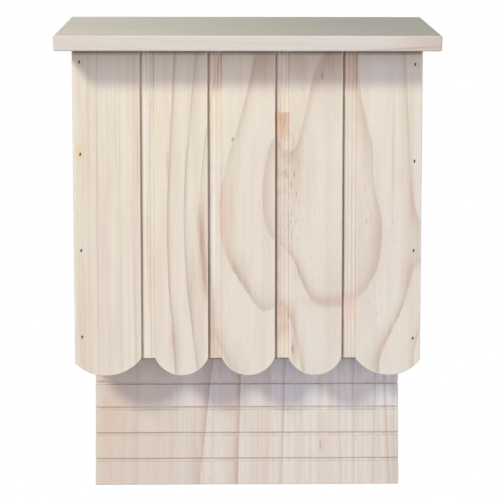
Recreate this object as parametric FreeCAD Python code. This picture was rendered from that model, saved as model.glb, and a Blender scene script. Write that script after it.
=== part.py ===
"""A wall-hung bat box of pine boards: roof, beaded front, grooved back and landing plate.

X runs to the right, Y towards the wall and Z up. The rear faces lie in the wall plane, Y = 0.
Lengths are worked out as depth in front of the wall and height above the landing plate's foot,
and each finished piece is moved so that the keyhole's entry is the origin.
"""

import FreeCAD, Part
import os
from math import cos, degrees, radians, sin, sqrt, tan

Vector = FreeCAD.Vector

# Boards
back_height = 386.0
back_thickness = 12.0
side_thickness = 12.0
front_thickness = 12.0
roof_thickness = 12.0
partition_thickness = 6.0

# Box
body_width = 280.0
entrance_height = 109.9
rear_crevice = 15.0
front_crevice = 12.0
front_lean_degrees = 5.1
roof_slope_degrees = 17.8

# Roof
roof_side_lip = 10.0
roof_front_lip = 35.4
roof_edge_radius = 1.8

# Milled strips of the front panel
first_strip = 54.6
strip_pitch = 54.1
least_end_board = 30.0
kerf_width = 1.6
kerf_depth = 5.0
bead_count = 3
bead_width = 3.2
bead_rise = 0.8
bead_sink = 0.9

# Scalloped lower edge of the front panel
scallop_drop = 14.2
left_corner_drop = 3.8
right_corner_drop = 1.5

# Grip grooves of the back plate and the partition
groove_width = 3.0
groove_depth = 2.0
groove_pitch = 21.7
first_groove = 21.0
groove_end_margin = 14.0
partition_groove_depth = 1.2

# Partition in the dados of the side boards
dado_depth = 4.0
dado_clearance = 0.3
partition_foot_gap = 4.0
partition_top_gap = 25.0

# Keyhole slot in the rear of the back plate
keyhole_from_top = 46.0
keyhole_radius = 4.75
keyhole_neck = 4.6
keyhole_lip = 3.0
keyhole_travel = 13.0
keyhole_web = 2.0

# Brads
brad_length = 30.0
brad_thickness = 1.3
brad_shank = 1.5
brad_head = 2.4
brad_head_height = 1.2
brad_point = 2.5
brad_tip = 0.6
brad_sink = 0.6

# Brad rows
front_brad_count = 4
front_brad_low_inset = 17.0
front_brad_high_inset = 13.5
front_brad_turn_degrees = 12.0
front_brad_strays = ((0.7, -2.8, 0.7, 0.3), (-0.9, -3.2, -4.9, -1.5))
side_brad_count = 4
side_brad_inset = 24.0
roof_brad_rear_inset = 22.0
roof_brad_front_inset = 27.0
roof_back_brad_spread = 130.0
partition_brad_inset = 28.0

# How far cutters run past the wood
overshoot = 5.0

# Derived places: depths in front of the wall, heights above the foot
front_lean = radians(front_lean_degrees)
roof_slope = radians(roof_slope_degrees)
partition_back = back_thickness + rear_crevice
partition_front = partition_back + partition_thickness
chamber_depth = rear_crevice + partition_thickness + front_crevice
panel_inner_foot = back_thickness + chamber_depth
panel_outer_foot = panel_inner_foot + front_thickness / cos(front_lean)
half_body = body_width / 2
half_back = half_body - side_thickness
keyhole_height = back_height - keyhole_from_top


def roof_underside(depth):
    """Height of the roof's underside at a depth in front of the wall."""
    return back_height - depth * tan(roof_slope)


def leaning_top(depth_at_foot):
    """Depth and height where a leaning face of the panel meets the roof's underside."""
    rise = (back_height - entrance_height) * tan(front_lean)
    depth = (depth_at_foot + rise) / (1 + tan(front_lean) * tan(roof_slope))
    return depth, roof_underside(depth)


panel_top_depth, panel_top_height = leaning_top(panel_outer_foot)
panel_inner_top_depth, panel_inner_top_height = leaning_top(panel_inner_foot)
panel_length = (panel_top_height - entrance_height) / cos(front_lean)
roof_depth = panel_top_depth + roof_front_lip
partition_top = roof_underside(partition_front) - partition_top_gap
partition_foot = entrance_height + partition_foot_gap

strip_width = kerf_width + bead_count * bead_width
strip_count = 1 + int((body_width - first_strip - least_end_board) / strip_pitch)
strip_lefts = [first_strip - half_body - kerf_width / 2 + n * strip_pitch for n in range(strip_count)]


def world(x, depth, height):
    """A point from its place across, its depth in front of the wall and its height."""
    return Vector(x, -depth, height)


def prism(outline, x_low, x_high):
    """A solid between two X planes, from an outline of (depth, height) corners."""
    wire = Part.makePolygon([world(x_low, d, h) for d, h in outline + outline[:1]])
    return Part.Face(wire).extrude(Vector(x_high - x_low, 0, 0))


def below_roof(x_low, x_high, deepest):
    """The space under the roof board, for cutting tops to its slope."""
    outline = [
        (-overshoot, -overshoot),
        (-overshoot, roof_underside(-overshoot)),
        (deepest, roof_underside(deepest)),
        (deepest, -overshoot),
    ]
    return prism(outline, x_low, x_high)


# Places of the brads

def spaced(low, high, count):
    """Evenly spaced values from low to high."""
    return [low + (high - low) * n / (count - 1) for n in range(count)]


def brad_place(x, depth, height, inward, across):
    """A placement at a surface: local -Z goes into the wood, local X across the head."""
    outward = inward.negative()
    rotation = FreeCAD.Rotation(across, Vector(), outward, "ZXY")
    return FreeCAD.Placement(world(x, depth, height), rotation)


def into_panel():
    """The direction square into the front panel."""
    return Vector(0, cos(front_lean), sin(front_lean))


def into_roof():
    """The direction square into the roof."""
    return Vector(0, sin(roof_slope), -cos(roof_slope))


def front_brad_places():
    """Both upright rows through the panel into the front edges of the side boards."""
    turn = radians(front_brad_turn_degrees)
    along = Vector(0, -sin(front_lean), cos(front_lean))
    across = Vector(1, 0, 0) * sin(turn) + along * cos(turn)
    rows = spaced(front_brad_low_inset, panel_length - front_brad_high_inset, front_brad_count)
    places = []
    for side in (-1, 1):
        strays = front_brad_strays[side > 0]
        for n, row in enumerate(rows):
            v = row + strays[n % len(strays)]
            depth = panel_outer_foot + v * sin(front_lean)
            height = entrance_height + v * cos(front_lean)
            x = side * (half_body - side_thickness / 2)
            places.append(brad_place(x, depth, height, into_panel(), across))
    return places


def side_brad_places():
    """Rows through both side boards into the edges of the back plate."""
    depth = back_thickness / 2
    top = roof_underside(depth) - side_brad_inset
    places = []
    for side in (-1, 1):
        for height in spaced(entrance_height + side_brad_inset, top, side_brad_count):
            place = brad_place(side * half_body, depth, height, Vector(-side, 0, 0), Vector(0, 0, 1))
            places.append(place)
    return places


def roof_top_place(x, depth_at_underside):
    """A brad through the roof that crosses its underside at the given depth."""
    depth = depth_at_underside + roof_thickness * sin(roof_slope)
    height = roof_underside(depth_at_underside) + roof_thickness * cos(roof_slope)
    return brad_place(x, depth, height, into_roof(), Vector(1, 0, 0))


def board_centre(index):
    """The place across of the middle of one board face of the front panel."""
    return sum(board_edges()[index]) / 2


def roof_brad_places():
    """Brads through the roof into the side boards, the panel and the back plate.

    A brad square to the roof drifts towards the wall below it, so it starts as far forward
    as keeps it in the middle of the upright board or the leaning panel that it enters.
    """
    places = []
    for side in (-1, 1):
        for depth in (roof_brad_rear_inset, panel_inner_top_depth - roof_brad_front_inset):
            places.append(roof_top_place(side * (half_body - side_thickness / 2), depth))
    run = brad_length + brad_sink - roof_thickness
    drift = run * sin(roof_slope)
    panel_drift = drift - run * cos(roof_slope) * tan(front_lean)
    panel_middle = (panel_top_depth + panel_inner_top_depth) / 2
    for index in (0, (strip_count + 1) // 2, strip_count):
        places.append(roof_top_place(board_centre(index), panel_middle + panel_drift / 2))
    for side in (-1, 1):
        x = side * roof_back_brad_spread / 2
        places.append(roof_top_place(x, (back_thickness + drift) / 2))
    return places


def partition_brad_places():
    """Brads through both side boards into the edges of the partition."""
    depth = (partition_back + partition_front) / 2
    places = []
    for side in (-1, 1):
        for height in (partition_foot + partition_brad_inset, partition_top - partition_brad_inset):
            place = brad_place(side * half_body, depth, height, Vector(-side, 0, 0), Vector(0, 0, 1))
            places.append(place)
    return places


def brad_profile(top):
    """Outline of a chisel-pointed brad seen from its broad face, up to the given level."""
    head = brad_head / 2
    shank = brad_shank / 2
    neck = -brad_sink - brad_head_height
    tip = -brad_sink - brad_length
    right = [(head, top), (head, neck), (shank, neck), (shank, tip + brad_point)]
    left = [(-x, z) for x, z in reversed(right)]
    return right + [(brad_tip / 2, tip), (-brad_tip / 2, tip)] + left


def brads(places, top):
    """One solid for each place, made of the brad's outline given its thickness."""
    outline = brad_profile(top)
    half = brad_thickness / 2
    wire = Part.makePolygon([Vector(x, -half, z) for x, z in outline + outline[:1]])
    solid = Part.Face(wire).extrude(Vector(0, brad_thickness, 0))
    made = []
    for place in places:
        copy = solid.copy()
        copy.Placement = place
        made.append(copy)
    return made


def drilled(board, *groups):
    """The board with a close hole for each brad that enters it, open above the sunk head."""
    holes = []
    for places in groups:
        holes += [h for h in brads(places, overshoot) if h.BoundBox.intersect(board.BoundBox)]
    return board.cut(Part.makeCompound(holes)).Solids[0]


# Boards

def groove_heights(low, high):
    """Heights of the grip grooves that lie between two levels, on one pattern for all boards."""
    found = []
    height = first_groove
    while height + groove_end_margin <= high:
        if height - groove_end_margin >= low:
            found.append(height)
        height += groove_pitch
    return found


def groove_cutter(x_low, x_high, depth_low, depth_high, heights):
    """Level bars across the board, one for each groove."""
    bars = []
    for height in heights:
        low, high = height - groove_width / 2, height + groove_width / 2
        outline = [(depth_low, low), (depth_high, low), (depth_high, high), (depth_low, high)]
        bars.append(prism(outline, x_low, x_high))
    return Part.makeCompound(bars)


def round_cutter(radius, depth_low, depth_high, height):
    """A round hole square to the wall, between two depths."""
    forward = Vector(0, -1, 0)
    return Part.makeCylinder(radius, depth_high - depth_low, world(0, depth_low, height), forward)


def slot_cutter(radius, depth_low, depth_high):
    """The straight stretch of the keyhole, from its entry up to its upper end."""
    low, high = keyhole_height, keyhole_height + keyhole_travel
    outline = [(depth_low, low), (depth_high, low), (depth_high, high), (depth_low, high)]
    return prism(outline, -radius, radius)


def keyhole_cutter():
    """Round entry, narrow neck through the lip, and the channel behind it for the screw's head."""
    pocket = back_thickness - groove_depth - keyhole_web
    top = keyhole_height + keyhole_travel
    entry = round_cutter(keyhole_radius, -overshoot, pocket, keyhole_height)
    channel_end = round_cutter(keyhole_radius, keyhole_lip, pocket, top)
    channel = slot_cutter(keyhole_radius, keyhole_lip, pocket)
    neck_end = round_cutter(keyhole_neck / 2, -overshoot, keyhole_lip, top)
    neck = slot_cutter(keyhole_neck / 2, -overshoot, keyhole_lip)
    return entry.multiFuse([channel_end, channel, neck_end, neck]).removeSplitter()


def back_plate():
    """Back board and landing plate in one, with grip grooves right across its front."""
    top = [(back_thickness, roof_underside(back_thickness)), (0, back_height)]
    board = prism([(0, 0), (back_thickness, 0)] + top, -half_back, half_back)
    heights = groove_heights(0, roof_underside(back_thickness))
    depths = (back_thickness - groove_depth, back_thickness + overshoot)
    grooves = groove_cutter(-half_back - overshoot, half_back + overshoot, *depths, heights)
    board = board.cut(grooves).cut(keyhole_cutter())
    return drilled(board, side_brad_places(), roof_brad_places())


def side_board(side):
    """A side board with its front edge leaning as the panel does and a dado for the partition."""
    x_low = half_back if side > 0 else -half_body
    outline = [
        (0, entrance_height),
        (panel_inner_foot, entrance_height),
        (panel_inner_top_depth, panel_inner_top_height),
        (0, back_height),
    ]
    board = prism(outline, x_low, x_low + side_thickness)
    dado_low, dado_high = sorted((side * (half_back - overshoot), side * (half_back + dado_depth)))
    dado = [
        (partition_back, entrance_height - overshoot),
        (partition_front + dado_clearance, entrance_height - overshoot),
        (partition_front + dado_clearance, partition_top),
        (partition_back, partition_top),
    ]
    board = board.cut(prism(dado, dado_low, dado_high))
    groups = (front_brad_places(), side_brad_places(), roof_brad_places(), partition_brad_places())
    return drilled(board, *groups)


def partition():
    """The inner baffle, gripping grooves on both faces, its edges in the dados."""
    half = half_back + dado_depth - dado_clearance
    outline = [
        (partition_back, partition_foot),
        (partition_front, partition_foot),
        (partition_front, partition_top),
        (partition_back, partition_top),
    ]
    board = prism(outline, -half, half)
    heights = groove_heights(partition_foot, partition_top)
    rear = (partition_back - overshoot, partition_back + partition_groove_depth)
    front = (partition_front - partition_groove_depth, partition_front + overshoot)
    for depths in (rear, front):
        board = board.cut(groove_cutter(-half_back, half_back, *depths, heights))
    return drilled(board, partition_brad_places())


def roof():
    """The roof board: square front edge, rear edge cut in the wall plane, broad faces eased."""
    half = half_body + roof_side_lip
    rise = roof_thickness / cos(roof_slope)
    low_depth = roof_depth - roof_thickness * sin(roof_slope)
    outline = [
        (0, back_height),
        (low_depth, roof_underside(low_depth)),
        (roof_depth, roof_underside(roof_depth) + rise),
        (0, back_height + rise),
    ]
    board = prism(outline, -half, half)
    eased = [e for e in board.Edges if e.BoundBox.YMin < -overshoot and e.Length > 2 * roof_thickness]
    radius = min(roof_edge_radius, roof_thickness / 4)
    return drilled(board.makeFillet(radius, eased), roof_brad_places())


# Front panel, drawn flat: u across, v up from the strips' lower ends, w out of its face

def board_edges():
    """Left and right edge of each plain board face between the milled strips."""
    lefts = [-half_body] + [left + strip_width for left in strip_lefts]
    rights = strip_lefts + [half_body]
    return list(zip(lefts, rights))


def bead_edges(left):
    """The milled strip's section from its kerf to its last bead, as a chain of edges."""
    valley = -bead_sink - bead_rise
    start = left + kerf_width
    corners = [(left, 0), (left, -kerf_depth), (start, -kerf_depth), (start, valley)]
    points = [Vector(u, 0, w) for u, w in corners]
    edges = [Part.LineSegment(a, b).toShape() for a, b in zip(points, points[1:])]
    for n in range(bead_count):
        low = Vector(start + n * bead_width, 0, valley)
        crest = Vector(start + (n + 0.5) * bead_width, 0, -bead_sink)
        high = Vector(start + (n + 1) * bead_width, 0, valley)
        edges.append(Part.Arc(low, crest, high).toShape())
    end = Vector(left + strip_width, 0, 0)
    edges.append(Part.LineSegment(Vector(end.x, 0, valley), end).toShape())
    return edges


def panel_section():
    """The panel's section across the grain: plain board faces joined by milled strips."""
    edges = []
    for index, (left, right) in enumerate(board_edges()):
        edges.append(Part.LineSegment(Vector(left, 0, 0), Vector(right, 0, 0)).toShape())
        if index < strip_count:
            edges += bead_edges(right)
    back = -front_thickness
    corners = [(half_body, 0), (half_body, back), (-half_body, back), (-half_body, 0)]
    points = [Vector(u, 0, w) for u, w in corners]
    edges += [Part.LineSegment(a, b).toShape() for a, b in zip(points, points[1:])]
    return Part.Face(Part.Wire(edges))


def lobe(left, right):
    """A lower edge from corner to corner, an arc that just reaches the scallops' lowest line.

    The arc's lowest point splits the span so that the circle passes both corners.
    """
    rise_left = left.y + scallop_drop
    rise_right = right.y + scallop_drop
    span = right.x - left.x
    a = rise_right - rise_left
    b = 2 * rise_left * span
    c = rise_right * rise_left ** 2 - rise_left * span ** 2 - rise_left * rise_right ** 2
    split = -2 * c / (b + sqrt(b * b - 4 * a * c))
    lowest = Vector(left.x + split, -scallop_drop, 0)
    return Part.Arc(left, lowest, right).toShape()


def lower_edge():
    """The panel's lower edge: a lobe under each board and a straight cut under each strip."""
    boards = board_edges()
    edges = []
    for index, (left, right) in enumerate(boards):
        left_drop = left_corner_drop if index == 0 else 0
        right_drop = right_corner_drop if index == strip_count else 0
        edges.append(lobe(Vector(left, -left_drop, 0), Vector(right, -right_drop, 0)))
        if index < strip_count:
            next_left = boards[index + 1][0]
            edges.append(Part.LineSegment(Vector(right, 0, 0), Vector(next_left, 0, 0)).toShape())
    return edges


def panel_outline(top):
    """The panel's outline seen square on, from the scalloped edge up to the given level."""
    corners = [
        (half_body, -right_corner_drop),
        (half_body, top),
        (-half_body, top),
        (-half_body, -left_corner_drop),
    ]
    points = [Vector(u, v, 0) for u, v in corners]
    edges = lower_edge() + [Part.LineSegment(a, b).toShape() for a, b in zip(points, points[1:])]
    return Part.Face(Part.Wire(edges))


def front_panel():
    """The beaded panel, milled, scalloped, leant and cut to the roof's slope."""
    top = panel_length + front_thickness + overshoot
    foot = -scallop_drop - overshoot
    section = panel_section()
    section.translate(Vector(0, foot, 0))
    milled = section.extrude(Vector(0, top - foot, 0))
    outline = panel_outline(top)
    outline.translate(Vector(0, 0, -front_thickness - overshoot))
    board = milled.common(outline.extrude(Vector(0, 0, front_thickness + 2 * overshoot)))
    upright = FreeCAD.Rotation(Vector(1, 0, 0), 90 + degrees(front_lean))
    board.Placement = FreeCAD.Placement(world(0, panel_outer_foot, entrance_height), upright)
    board = board.common(below_roof(-body_width, body_width, roof_depth + overshoot))
    return drilled(board.Solids[0], front_brad_places(), roof_brad_places())


def save(name, shape):
    """Move a piece so that the keyhole's entry is the origin, and write it."""
    placed = shape.copy()
    placed.translate(Vector(0, 0, -keyhole_height))
    placed.exportStep("parts/" + name + ".step")
    print(name, len(placed.Solids), "solids", "valid" if placed.isValid() else "NOT VALID")


os.makedirs("parts", exist_ok=True)
save("back_plate", back_plate())
save("left_side", side_board(-1))
save("right_side", side_board(1))
save("front_panel", front_panel())
save("roof", roof())
save("partition", partition())
save("front_brads", Part.makeCompound(brads(front_brad_places(), -brad_sink)))
save("side_brads", Part.makeCompound(brads(side_brad_places(), -brad_sink)))
save("roof_brads", Part.makeCompound(brads(roof_brad_places(), -brad_sink)))
save("partition_brads", Part.makeCompound(brads(partition_brad_places(), -brad_sink)))
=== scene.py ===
# %% [markdown]
# # A pine bat box on a wall
#
# The box is a handful of pine boards held by small brads: a back board that runs on below as a
# landing plate, two sides, a beaded front panel with a scalloped lower edge, a sloping roof and a
# thin partition inside. The lesson loads the measured model first, because every board drawn later
# has to lie exactly where the measured one does.

import bmesh
import bpy
import numpy as np
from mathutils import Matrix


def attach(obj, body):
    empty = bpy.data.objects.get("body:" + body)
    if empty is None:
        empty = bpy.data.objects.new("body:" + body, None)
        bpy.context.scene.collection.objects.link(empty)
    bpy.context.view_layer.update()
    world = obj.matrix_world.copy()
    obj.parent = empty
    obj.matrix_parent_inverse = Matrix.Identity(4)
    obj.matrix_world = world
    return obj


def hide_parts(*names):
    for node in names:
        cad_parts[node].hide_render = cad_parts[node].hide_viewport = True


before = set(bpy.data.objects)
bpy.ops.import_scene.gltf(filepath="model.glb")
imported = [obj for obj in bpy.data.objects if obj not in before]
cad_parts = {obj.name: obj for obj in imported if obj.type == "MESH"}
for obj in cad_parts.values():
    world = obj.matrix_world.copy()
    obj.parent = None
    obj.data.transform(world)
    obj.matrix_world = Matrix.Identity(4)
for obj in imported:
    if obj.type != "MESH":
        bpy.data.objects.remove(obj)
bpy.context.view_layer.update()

# %% [markdown]
# ## The measures
#
# A joiner would write the cutting list first, and this is it, in millimetres. X runs to the right,
# Y towards the wall and Z up. Depths are counted out from the wall and heights up from the foot of
# the landing plate, as such a box is measured, and to_frame turns them into the model's metres.

# %% Cutting list
FOOT = 340.0
BACK_HEIGHT, BOARD, PARTITION_BOARD = 386.0, 12.0, 6.0
HALF_BODY, HALF_BACK, HALF_ROOF = 140.0, 128.0, 150.0
ENTRANCE = 109.9
LEAN, SLOPE = np.radians(5.1), np.radians(17.8)
PARTITION_REAR, PANEL_INNER_FOOT = 27.0, 45.0
ROOF_LIP = 35.4
PANEL_FOOT = PANEL_INNER_FOOT + BOARD / np.cos(LEAN)


def underside(depth):
    """Height of the roof's underside: it falls from the back board's top by the slope's tangent."""
    return BACK_HEIGHT - depth * np.tan(SLOPE)


def under_roof(depth_at_entrance):
    """Depth and height where a face leaning outward from the entrance meets the roof's underside.

    With h the rise from the entrance to the back board's top, the depth is (depth_at_entrance +
    h tan lean) / (1 + tan lean tan slope).
    """
    rise = (BACK_HEIGHT - ENTRANCE) * np.tan(LEAN)
    depth = (depth_at_entrance + rise) / (1 + np.tan(LEAN) * np.tan(SLOPE))
    return depth, underside(depth)


PANEL_TOP = under_roof(PANEL_FOOT)
PANEL_INNER_TOP = under_roof(PANEL_INNER_FOOT)
ROOF_DEPTH = PANEL_TOP[0] + ROOF_LIP


def to_frame(x, depth, height):
    """Metres in the model's frame: depth is turned round and the height is counted from its origin."""
    x, depth, height = np.broadcast_arrays(x, depth, height)
    return np.stack([x, -depth, height - FOOT], -1) / 1000


print("front panel's top outer edge, depth and height:", np.round(PANEL_TOP, 2))

# %% [markdown]
# ## The camera
#
# The photograph was taken straight on from about 1.1 m, at half the box's height, from where the
# roof's sloping top still shows. The place and the long lens were found by laying the measured
# edges over the photographed ones. A camera could be aimed by eye, but a measured aim lets every
# later comparison be made pixel by pixel.

# %% Camera from the measured view
from mathutils import Matrix, Vector

yaw, pitch, roll = np.radians([0.871, 0.586, -0.098])
forward = Vector((np.sin(yaw) * np.cos(pitch), np.cos(yaw) * np.cos(pitch), np.sin(pitch)))
level = Vector((np.cos(yaw), -np.sin(yaw), 0))
upright = level.cross(forward)
right = level * np.cos(roll) + upright * np.sin(roll)
top = upright * np.cos(roll) - level * np.sin(roll)

camera = bpy.data.objects.new("camera", bpy.data.cameras.new("camera"))
bpy.context.scene.collection.objects.link(camera)
camera.data.lens, camera.data.sensor_width = 91.55, 36
camera.data.clip_start, camera.data.clip_end = 0.05, 20
turn = Matrix((right, top, -forward)).transposed().to_4x4()
camera_place = (-0.01377, -1.08977, -0.15280)
camera.matrix_world = Matrix.Translation(camera_place) @ turn
bpy.context.scene.camera = camera
print("camera", np.round(camera.location, 4), "lens", camera.data.lens)

# %% [markdown]
# ## Shader nodes written as sums
#
# Light and wood are both worked out by shader nodes: small boxes with one job each, joined by
# lines. A dozen could be dragged into place by hand, but here there are hundreds. So a node's
# output is kept as a Value, and plain arithmetic with such values makes the Math nodes. Every new
# node goes into the tree that was opened last.

# %% Node helpers
class Value:
    """A node's output. Adding, subtracting, multiplying or dividing it makes the Math node."""

    def __init__(self, socket):
        self.socket = socket

    def __add__(self, other):
        return maths("ADD", self, other)

    def __sub__(self, other):
        return maths("SUBTRACT", self, other)

    def __rsub__(self, other):
        return maths("SUBTRACT", other, self)

    def __mul__(self, other):
        return maths("MULTIPLY", self, other)

    def __truediv__(self, other):
        return maths("DIVIDE", self, other)

    __radd__, __rmul__ = __add__, __mul__


def open_tree(new_tree):
    """Empty this tree and let all new nodes go into it."""
    global tree
    tree = new_tree
    tree.nodes.clear()


def plug(value, socket):
    """Link a Value into a socket, or set a plain number, vector or colour there."""
    if isinstance(value, Value):
        tree.links.new(value.socket, socket)
    else:
        socket.default_value = (*value, 1) if socket.type == "RGBA" else value


def node(kind, output, inputs=(), **settings):
    """One new node with its settings and inputs. The output asked for comes back as a Value."""
    made = tree.nodes.new(kind)
    for name, value in settings.items():
        setattr(made, name, value)
    for name, value in dict(inputs).items():
        plug(value, made.inputs[name])
    return None if output is None else Value(made.outputs[output])


def maths(operation, *values):
    """One Math node's result, or a Vector Math node's where a vector goes in."""
    if any(isinstance(value, Value) and value.socket.type == "VECTOR" for value in values):
        output = "Value" if operation in ("DOT_PRODUCT", "LENGTH") else "Vector"
        return node("ShaderNodeVectorMath", output, enumerate(values), operation=operation)
    return node("ShaderNodeMath", "Value", enumerate(values), operation=operation)


def blend(share, first, second, mode="MIX"):
    """Two colours mixed by a share."""
    return node("ShaderNodeMix", 2, {0: share, 6: first, 7: second}, data_type="RGBA", blend_type=mode)


def new_material(name):
    """A material whose tree is empty and open."""
    made = bpy.data.materials.new(name)
    made.use_nodes = True
    open_tree(made.node_tree)
    return made


print("node helpers ready")

# %% [markdown]
# ## Light
#
# One broad light from the upper left throws the roof's shadow down the front and the lobes'
# shadows to the right over the landing plate. A round lamp of 85 cm at four metres does the same
# and gives the shadows soft rims. The rest comes from a bright room, a little violet beside the
# warm lamp, which tints the shadows: a broad glow from the front, a little right and below, a
# weaker one behind for the rear, and one high on the left, behind the box, that only the roof's
# top faces. The camera itself sees plain white, as in the photograph.

# %% Lamp, room light and view
scene = bpy.context.scene
scene.view_settings.view_transform = "Standard"
scene.view_settings.look = "None"

toward_lamp = Vector((-0.783, -1.0, 0.69)).normalized()
box_middle, lamp_distance = Vector((0, -0.08, -0.10)), 4.0
lamp_data = bpy.data.lights.new("window light", "AREA")
lamp_data.shape, lamp_data.size = "DISK", 0.85
lamp_data.energy = 92.0
lamp_data.color = (0.97, 0.98, 0.865)
lamp = bpy.data.objects.new("window light", lamp_data)
scene.collection.objects.link(lamp)
lamp.location = box_middle + toward_lamp * lamp_distance
lamp.rotation_mode = "QUATERNION"
lamp.rotation_quaternion = (-toward_lamp).to_track_quat("-Z", "Y")
lamp.visible_camera = False

world = bpy.data.worlds.new("room")
scene.world = world
world.use_nodes = True
open_tree(world.node_tree)
looking = node("ShaderNodeTexCoord", "Generated")


def glow_round(direction, power, strength):
    """Brightness round a direction: strength times the cosine to it, never below nothing, to a power."""
    facing = maths("DOT_PRODUCT", looking, Vector(direction).normalized())
    return maths("POWER", maths("MAXIMUM", facing, 0.0), power) * strength


front_glow = glow_round((0.34, -0.93, -0.17), 4, 1.74)
rear_glow = glow_round((0.25, 1.0, 0.0), 2, 1.0)
high_glow = glow_round((-0.35, 0.35, 0.87), 4, 0.68)
everywhere = 0.07
tint = blend(rear_glow, (0.935, 0.915, 1.0), (1.0, 0.97, 0.92))
brightness = front_glow + rear_glow + high_glow + everywhere
room = node("ShaderNodeBackground", 0, {"Color": tint, "Strength": brightness})
white = node("ShaderNodeBackground", 0, {"Color": (1, 1, 1), "Strength": 1.0})
seen = node("ShaderNodeLightPath", "Is Camera Ray")
mixed = node("ShaderNodeMixShader", 0, {0: seen, 1: room, 2: white})
node("ShaderNodeOutputWorld", None, {"Surface": mixed})
print("lamp", lamp_data.energy, "W at", np.round(lamp.location, 2), "room light nodes", len(tree.nodes))

# %% [markdown]
# ## The floor
#
# The box hangs on a wall and the photograph shows it on plain white, so the floor is one wide pale
# sheet well below it. It glows white to join the background without a line, throws no light back,
# and is clear from below, so that the underside can be looked at.

# %% Floor
def make_mesh(name, points, faces):
    """A mesh from an array of points in metres and a list or array of faces."""
    mesh = bpy.data.meshes.new(name)
    points = np.asarray(points, float).reshape(-1, 3)
    mesh.from_pydata(points.tolist(), [], [list(map(int, face)) for face in faces])
    mesh.update()
    return mesh


reach = 6 * np.array([(-1, -1), (1, -1), (1, 1), (-1, 1)])
floor_level = -1.1
corners = np.c_[reach, np.full(4, floor_level)]
floor = bpy.data.objects.new("floor", make_mesh("floor", corners, [range(4)]))
scene.collection.objects.link(floor)
floor.visible_diffuse = floor.visible_glossy = floor.visible_shadow = False
floor_paint = new_material("pale floor")
glow = node("ShaderNodeEmission", 0, {"Color": (1, 1, 1), "Strength": 1.0})
clear = node("ShaderNodeBsdfTransparent", 0)
below = node("ShaderNodeNewGeometry", "Backfacing")
mixed = node("ShaderNodeMixShader", 0, {0: below, 1: glow, 2: clear})
node("ShaderNodeOutputMaterial", None, {"Surface": mixed})
floor.data.materials.append(floor_paint)
print("floor", len(floor.data.vertices), "corners")

# %% [markdown]
# ## A board from its section
#
# Every plain board is a section drawn in depth and height, carried straight across from end to
# end. A cube with a Bevel modifier would do for the plainest, but not for grooves or a slanted top,
# and its bevel is the same at every edge. So a board is a grid instead: one direction goes round
# the section and the other goes across. A stroke of sandpaper takes off a planed board's sharp
# corners, so each corner of the section is a small arc, and the section shrinks towards the ends.

# %% Section and board helpers
ARC_STEPS, COLLAR = 4, 1.2
SHARP_ANGLE = np.radians(32)


def rounded_section(corners, radii, inset):
    """Points of the outline with each corner an arc and every side moved inward, and their mask.

    With n1 and n2 the inward normals before and after a corner, the arc's centre is the corner
    plus (inset + radius) (n1 + n2) / (1 + n1.n2), and its points are the centre less the radius
    times a unit vector that swings from n1 to n2. The radius is negative at a reflex corner. A
    collar point on each side of an arc keeps the flat faces flat when they are shaded.
    """
    corners, radii = np.asarray(corners, float), np.broadcast_to(np.asarray(radii, float), len(corners))
    before, after = corners - np.roll(corners, 1, 0), np.roll(corners, -1, 0) - corners
    length_before, length_after = np.linalg.norm(before, axis=1), np.linalg.norm(after, axis=1)
    d1, d2 = before / length_before[:, None], after / length_after[:, None]
    n1, n2 = np.c_[-d1[:, 1], d1[:, 0]], np.c_[-d2[:, 1], d2[:, 0]]
    bend = (n1 + n2) / (1 + (n1 * n2).sum(1))[:, None]
    side = np.sign(d1[:, 0] * d2[:, 1] - d1[:, 1] * d2[:, 0])
    radius = np.maximum(radii - side * inset, 0.02) * side
    centre = corners + (inset + radius)[:, None] * bend
    swing = np.linspace(0, 1, ARC_STEPS + 1)[None, :, None]
    spoke = n1[:, None] * (1 - swing) + n2[:, None] * swing
    spoke /= np.linalg.norm(spoke, axis=2, keepdims=True)
    arc = centre[:, None] - radius[:, None, None] * spoke
    collar_before = arc[:, 0] - d1 * np.minimum(COLLAR, 0.3 * length_before)[:, None]
    collar_after = arc[:, -1] + d2 * np.minimum(COLLAR, 0.3 * length_after)[:, None]
    points = np.concatenate([collar_before[:, None], arc, collar_after[:, None]], 1)
    mask = np.ones(points.shape[:2])
    mask[:, [0, -1]] = 0
    return points.reshape(-1, 2), mask.ravel()


def quarter(radius, steps=ARC_STEPS):
    """Distance in from an edge and drop of a quarter round: r(1 - cos a) and r(1 - sin a)."""
    angle = np.linspace(0, np.pi / 2, steps + 1)
    return radius * (1 - np.cos(angle)), radius * (1 - np.sin(angle))


def tube_faces(stations, around):
    """Quads of a closed tube, ring by ring, and one many-sided face for each end."""
    i, j = np.meshgrid(np.arange(stations - 1), np.arange(around), indexing="ij")
    k = (j + 1) % around
    quads = np.stack([i * around + j, i * around + k, (i + 1) * around + k, (i + 1) * around + j], -1)
    ends = [np.arange(around)[::-1], np.arange(around) + (stations - 1) * around]
    return quads.reshape(-1, 4).tolist() + [e.tolist() for e in ends]


def turn_outward(mesh):
    """All faces of a closed mesh turned to point out, and its sharp corners kept sharp."""
    work = bmesh.new()
    work.from_mesh(mesh)
    bmesh.ops.recalc_face_normals(work, faces=work.faces)
    work.to_mesh(mesh)
    work.free()
    mesh.shade_smooth()
    mesh.set_sharp_from_angle(angle=SHARP_ANGLE)


def new_piece(name, points, faces, mask=None):
    """A named object at the origin with its place in its mesh, and its edge mask as an attribute."""
    mesh = make_mesh(name, points, faces)
    if mask is not None:
        mesh.attributes.new("edge", "FLOAT", "POINT").data.foreach_set("value", np.ravel(mask))
    turn_outward(mesh)
    piece = bpy.data.objects.new(name, mesh)
    scene.collection.objects.link(piece)
    return piece


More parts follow.
